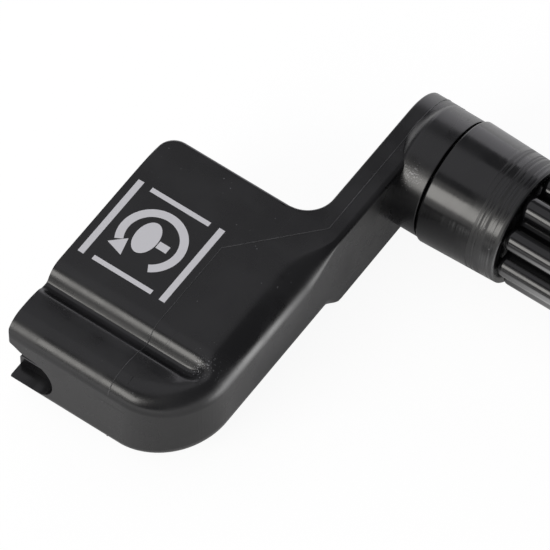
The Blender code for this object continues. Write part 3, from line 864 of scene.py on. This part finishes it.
bpy.ops.mesh.normals_make_consistent(inside=False)
leave_edit()
arc.rotation_euler = (0.0, 0.0, arrow_start)
arc.location = print_centre
bpy.ops.object.transform_apply(location=True, rotation=True, scale=True)
ink.append(arc)
bpy.ops.object.select_all(action="DESELECT")
for slab in ink:
    slab.select_set(True)
bpy.context.view_layer.objects.active = ink[0]
bpy.ops.object.join()
pictogram = bpy.context.object
pictogram.name = "printed_pictogram"
settle(pictogram)
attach(pictogram, "crank")
wear_finish(pictogram, worn_ink)

# ----------------------------------------------------------------------------------------------------------
# Collar: smooth tapered sleeve next to the boss, with a small rounding at both rims.
# ----------------------------------------------------------------------------------------------------------
collar_length, collar_radius, collar_end_radius = 11.8 * mm, 8.9 * mm, 8.5 * mm
taper = collar_end_radius / collar_radius
collar = add_round_bar("collar", 0.0, collar_length, collar_radius, 144)
enter_edit(collar)
pick(collar, "VERT", lambda v: v.co.x > collar_length - tiny)
bpy.ops.transform.resize(value=(1.0, taper, taper), center_override=(0.0, 0.0, 0.0))
pick(collar, "FACE", lambda f: f.normal.x < -0.9)
bpy.ops.mesh.inset(thickness=1.6 * mm)
pick(collar, "FACE", lambda f: f.normal.x > 0.9)
bpy.ops.mesh.inset(thickness=1.2 * mm)
pick(collar, "FACE", lambda f: len(f.verts) > 4)
bpy.ops.mesh.bridge_edge_loops()
pick(collar, "EDGE", lambda e: e.calc_face_angle(0.0) > 1.0 and middle(e).yz.length > 8.0 * mm)
bpy.ops.mesh.bevel(offset=0.28 * mm, segments=4, affect="EDGES")
leave_edit()
finish_surface(collar, 30.0)
settle(collar)
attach(collar, "handle")
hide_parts("handle_collar")
wear_finish(collar, collar_gloss)

# ----------------------------------------------------------------------------------------------------------
# Grip: a round core with nine round-topped ribs, a spigot inside the collar, a bore and the screw's pocket.
# ----------------------------------------------------------------------------------------------------------
grip_end, rib_count, first_rib_angle = 83.5 * mm, 9, 11
rib_half, rib_foot, rib_top = 1.7 * mm, 4.9 * mm, 8.1 * mm
rib = add_block("rib", (11.95 * mm, -rib_half, rib_foot), (grip_end - 0.05 * mm, rib_half, rib_top))
enter_edit(rib)
pick(rib, "EDGE", lambda e: lies_along(e, 0) and middle(e).z > rib_top - 0.1 * mm)
bpy.ops.mesh.bevel(offset=1.68 * mm, offset_type="OFFSET", segments=9, affect="EDGES")
above_foot = rib_foot + 0.05 * mm
pick(rib, "EDGE", lambda e: abs(e.verts[0].co.x - e.verts[1].co.x) < tiny and middle(e).z > above_foot)
bpy.ops.mesh.bevel(offset=0.8 * mm, offset_type="OFFSET", segments=5, affect="EDGES")
leave_edit()
ribs = [rib]
for count in range(1, rib_count):
    copy = rib.copy()
    copy.data = rib.data.copy()
    bpy.context.scene.collection.objects.link(copy)
    ribs.append(copy)
bpy.ops.object.select_all(action="DESELECT")
for count, item in enumerate(ribs):
    item.rotation_euler = (math.radians(first_rib_angle + 360 / rib_count * count), 0.0, 0.0)
    item.select_set(True)
bpy.context.view_layer.objects.active = rib
bpy.ops.object.transform_apply(location=True, rotation=True, scale=True)
bpy.ops.object.join()

grip = add_round_bar("grip", 0.0, grip_end, 5.6 * mm, 108)
spigot = add_round_bar("spigot", 0.02 * mm, 11.5 * mm, 7.0 * mm, 72)
bore = add_round_bar("bore", -2.0 * mm, 90.0 * mm, 2.8 * mm, 48)
pocket = add_round_bar("pocket", 77.2 * mm, 90.0 * mm, 4.8 * mm, 64)
combine(grip, "UNION", rib)
combine(grip, "UNION", spigot)
combine(grip, "DIFFERENCE", bore)
combine(grip, "DIFFERENCE", pocket)
enter_edit(grip)
bpy.ops.mesh.select_all(action="SELECT")
bpy.ops.mesh.dissolve_degenerate(threshold=0.001 * mm)
leave_edit()
finish_surface(grip, 28.0)
settle(grip)
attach(grip, "handle")
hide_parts("handle_grip")
wear_finish(grip, grip_gloss)

# ----------------------------------------------------------------------------------------------------------
# End cap: a rounded disc with a hollow spigot that snaps into the grip's pocket, and a shallow dished centre.
# ----------------------------------------------------------------------------------------------------------
cap_inner, cap_end = 83.8 * mm, 86.0 * mm
cap = add_round_bar("cap", cap_inner, cap_end, 7.6 * mm, 108)
enter_edit(cap)
pick(cap, "FACE", lambda f: f.normal.x < -0.9)
bpy.ops.mesh.inset(thickness=3.1 * mm)
bpy.ops.mesh.extrude_region_move(TRANSFORM_OT_translate={"value": (-3.0 * mm, 0.0, 0.0)})
bpy.ops.mesh.inset(thickness=1.2 * mm)
bpy.ops.mesh.extrude_region_move(TRANSFORM_OT_translate={"value": (3.0 * mm, 0.0, 0.0)})
pick(cap, "FACE", lambda f: f.normal.x > 0.9 and f.calc_center_median().x > cap_end - tiny)
bpy.ops.mesh.inset(thickness=2.6 * mm)
bpy.ops.mesh.inset(thickness=0.5 * mm)
bpy.ops.transform.translate(value=(-0.35 * mm, 0.0, 0.0))
pick(cap, "EDGE", lambda e: (
    e.calc_face_angle(0.0) > 1.0 and middle(e).yz.length > 7.0 * mm and middle(e).x > cap_end - tiny
))
bpy.ops.mesh.bevel(offset=1.0 * mm, segments=7, affect="EDGES")
leave_edit()
finish_surface(cap, 28.0)
settle(cap)
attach(cap, "handle")
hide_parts("end_cap")
wear_finish(cap, cap_satin)
